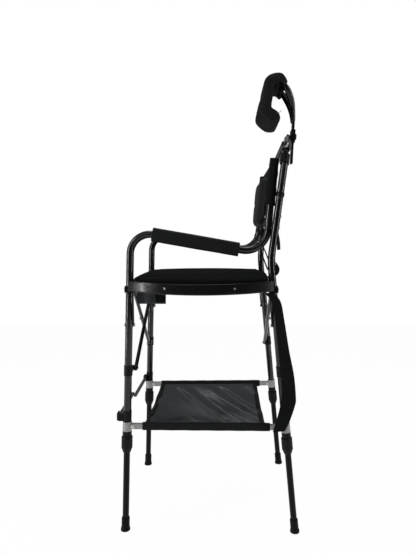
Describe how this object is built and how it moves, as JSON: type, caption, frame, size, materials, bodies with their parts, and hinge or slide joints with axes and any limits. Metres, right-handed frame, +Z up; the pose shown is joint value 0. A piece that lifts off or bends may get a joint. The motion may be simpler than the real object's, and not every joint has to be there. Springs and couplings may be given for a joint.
{
  "type": "folding makeup chair",
  "caption": "Tall folding makeup chair with a padded seat and back sling, foam arm pads, a foot rest bar, a cloth shelf, telescoping legs and a tilting headrest.",
  "frame": {"origin": "middle of the footprint's bounding box, on the floor", "axes": "+Z up, the chair faces -X, its width runs along Y"},
  "size_m": [0.5903, 0.6412, 1.4644],
  "materials": {
    "black_tube": "gloss",
    "leg_tube": "gloss",
    "rail": "satin",
    "bracket": "satin",
    "bolt": "satin",
    "plastic": "matte",
    "foot_rubber": "matte",
    "arm_foam": "matte",
    "canvas": "matte",
    "headrest_cover": "matte",
    "mesh_cloth": "matte",
    "webbing": "matte"
  },
  "bodies": {
    "near_side": {"near_arm_tube": "black_tube", "near_rear_upright": "black_tube", "near_seat_rail": "rail", "near_rail_brackets": "rail", "near_rail_struts": "rail", "near_leg_sleeves": "plastic", "near_shelf_brackets": "bracket", "near_shelf_rail": "rail", "near_frame_bolts": "bolt", "near_arm_pad": "arm_foam", "near_footrest_sleeve": "plastic", "near_hinge_sleeve": "plastic", "seat_pad": "canvas", "back_sling": "canvas", "lumbar_cushion": "canvas", "shelf_mesh": "mesh_cloth", "closure_flap": "canvas", "carry_strap": "webbing"},
    "far_side": {"far_arm_tube": "black_tube", "far_rear_upright": "black_tube", "far_seat_rail": "rail", "far_rail_brackets": "rail", "far_rail_struts": "rail", "far_leg_sleeves": "plastic", "far_shelf_brackets": "bracket", "far_shelf_rail": "rail", "far_frame_bolts": "bolt", "far_arm_pad": "arm_foam", "far_footrest_sleeve": "plastic", "far_hinge_sleeve": "plastic"},
    "near_front_leg": {"near_front_lower_leg": "leg_tube", "near_front_foot": "foot_rubber"},
    "near_front_lock": {"near_front_lock_collar": "plastic"},
    "near_rear_leg": {"near_rear_lower_leg": "leg_tube", "near_rear_foot": "foot_rubber"},
    "near_rear_lock": {"near_rear_lock_collar": "plastic"},
    "far_front_leg": {"far_front_lower_leg": "leg_tube", "far_front_foot": "foot_rubber"},
    "far_front_lock": {"far_front_lock_collar": "plastic"},
    "far_rear_leg": {"far_rear_lower_leg": "leg_tube", "far_rear_foot": "foot_rubber"},
    "far_rear_lock": {"far_rear_lock_collar": "plastic"},
    "near_front_brace": {"near_front_brace": "rail", "front_brace_rivet": "bolt"},
    "far_front_brace": {"far_front_brace": "rail"},
    "near_rear_brace": {"near_rear_brace": "rail", "rear_brace_rivet": "bolt"},
    "far_rear_brace": {"far_rear_brace": "rail"},
    "near_footrest": {"near_footrest_bar": "rail"},
    "far_footrest": {"far_footrest_bar": "rail"},
    "near_arch_half": {"near_arch": "black_tube"},
    "far_arch_half": {"far_arch": "black_tube"},
    "headrest_carrier": {"headrest_clamp": "plastic"},
    "knob": {"clamp_knob": "plastic"},
    "headrest_stem": {"headrest_fork": "rail"},
    "headrest": {"tilt_bar": "rail", "headrest_pad": "headrest_cover"},
    "near_button": {"near_hinge_button": "plastic"},
    "far_button": {"far_hinge_button": "plastic"}
  },
  "joints": [
    {"name": "fold", "type": "slide", "parent": "near_side", "child": "far_side", "axis": [0, -1, 0], "range_m": [0, 0.296], "deforming": ["seat_pad", "back_sling", "lumbar_cushion", "shelf_mesh"]},
    {"name": "near_front_leg_slide", "type": "slide", "parent": "near_side", "child": "near_front_leg", "axis": [0.0171, 0, 0.9999], "range_m": [0, 0.15]},
    {"name": "near_front_lock_turn", "type": "hinge", "parent": "near_side", "child": "near_front_lock", "pos_m": [-0.26225, -0.229, 0.266], "axis": [0.0171, 0, 0.9999], "range_deg": [0, 90]},
    {"name": "near_rear_leg_slide", "type": "slide", "parent": "near_side", "child": "near_rear_leg", "axis": [-0.0882, 0, 0.9961], "range_m": [0, 0.15]},
    {"name": "near_rear_lock_turn", "type": "hinge", "parent": "near_side", "child": "near_rear_lock", "pos_m": [0.23276, -0.24, 0.266], "axis": [-0.0882, 0, 0.9961], "range_deg": [0, 90]},
    {"name": "far_front_leg_slide", "type": "slide", "parent": "far_side", "child": "far_front_leg", "axis": [0.0171, 0, 0.9999], "range_m": [0, 0.15]},
    {"name": "far_front_lock_turn", "type": "hinge", "parent": "far_side", "child": "far_front_lock", "pos_m": [-0.26225, 0.229, 0.266], "axis": [0.0171, 0, 0.9999], "range_deg": [0, 90]},
    {"name": "far_rear_leg_slide", "type": "slide", "parent": "far_side", "child": "far_rear_leg", "axis": [-0.0882, 0, 0.9961], "range_m": [0, 0.15]},
    {"name": "far_rear_lock_turn", "type": "hinge", "parent": "far_side", "child": "far_rear_lock", "pos_m": [0.23276, 0.24, 0.266], "axis": [-0.0882, 0, 0.9961], "range_deg": [0, 90]},
    {"name": "near_front_brace_turn", "type": "hinge", "parent": "near_side", "child": "near_front_brace", "pos_m": [-0.24806, -0.197, 0.7449], "axis": [-0.9999, 0, 0.0171], "range_deg": [0, 49.51]},
    {"name": "far_front_brace_turn", "type": "hinge", "parent": "far_side", "child": "far_front_brace", "pos_m": [-0.24156, 0.197, 0.74479], "axis": [0.9999, 0, -0.0171], "range_deg": [0, 49.51]},
    {"name": "near_rear_brace_turn", "type": "hinge", "parent": "near_side", "child": "near_rear_brace", "pos_m": [0.18837, -0.208, 0.74482], "axis": [-0.9961, 0, -0.0882], "range_deg": [0, 50.81]},
    {"name": "far_rear_brace_turn", "type": "hinge", "parent": "far_side", "child": "far_rear_brace", "pos_m": [0.21029, 0.208, 0.74676], "axis": [0.9961, 0, 0.0882], "range_deg": [0, 50.81]},
    {"name": "near_footrest_turn", "type": "hinge", "parent": "near_side", "child": "near_footrest", "pos_m": [-0.287, -0.21, 0.349], "axis": [-1, 0, 0], "range_deg": [0, 72.01]},
    {"name": "far_footrest_turn", "type": "hinge", "parent": "far_side", "child": "far_footrest", "pos_m": [-0.2745, 0.21, 0.349], "axis": [1, 0, 0], "range_deg": [0, 72.01]},
    {"name": "near_arch_half_turn", "type": "hinge", "parent": "near_side", "child": "near_arch_half", "pos_m": [0.22969, -0.22192, 1.1698], "axis": [0.9409, 0, -0.3387], "range_deg": [0, 50.01]},
    {"name": "far_arch_half_turn", "type": "hinge", "parent": "far_side", "child": "far_arch_half", "pos_m": [0.22969, 0.22192, 1.1698], "axis": [-0.9409, 0, 0.3387], "range_deg": [0, 50.01]},
    {"name": "carrier_turn", "type": "hinge", "parent": "near_arch_half", "child": "headrest_carrier", "pos_m": [0.26281, 0, 1.26182], "axis": [-0.9409, 0, 0.3387], "range_deg": [0, 50.01]},
    {"name": "knob_turn", "type": "hinge", "parent": "headrest_carrier", "child": "knob", "pos_m": [0.28889, 0, 1.2636], "axis": [0.9987, 0, -0.0506], "range_deg": [0, 270]},
    {"name": "stem_slide", "type": "slide", "parent": "headrest_carrier", "child": "headrest_stem", "axis": [0.0506, 0, 0.9987], "range_m": [0, 0.055]},
    {"name": "headrest_tilt", "type": "hinge", "parent": "headrest_stem", "child": "headrest", "pos_m": [0.2415, 0, 1.441], "axis": [0, 1, 0], "range_deg": [-15, 15]},
    {"name": "near_button_press", "type": "slide", "parent": "near_side", "child": "near_button", "axis": [0, 1, 0], "range_m": [0, 0.002], "stiffness_N_per_m": 1500},
    {"name": "far_button_press", "type": "slide", "parent": "far_side", "child": "far_button", "axis": [0, -1, 0], "range_m": [0, 0.002], "stiffness_N_per_m": 1500}
  ],
  "couplings": [
    {"joint": "near_front_brace_turn", "follows": "fold", "rad_per_m": 2.9185},
    {"joint": "far_front_brace_turn", "follows": "fold", "rad_per_m": 2.9185},
    {"joint": "near_rear_brace_turn", "follows": "fold", "rad_per_m": 2.9951},
    {"joint": "far_rear_brace_turn", "follows": "fold", "rad_per_m": 2.9951},
    {"joint": "near_footrest_turn", "follows": "fold", "rad_per_m": 4.2454},
    {"joint": "far_footrest_turn", "follows": "fold", "rad_per_m": 4.2454},
    {"joint": "near_arch_half_turn", "follows": "fold", "rad_per_m": 2.9482},
    {"joint": "far_arch_half_turn", "follows": "fold", "rad_per_m": 2.9482},
    {"joint": "carrier_turn", "follows": "fold", "rad_per_m": 2.9482}
  ]
}
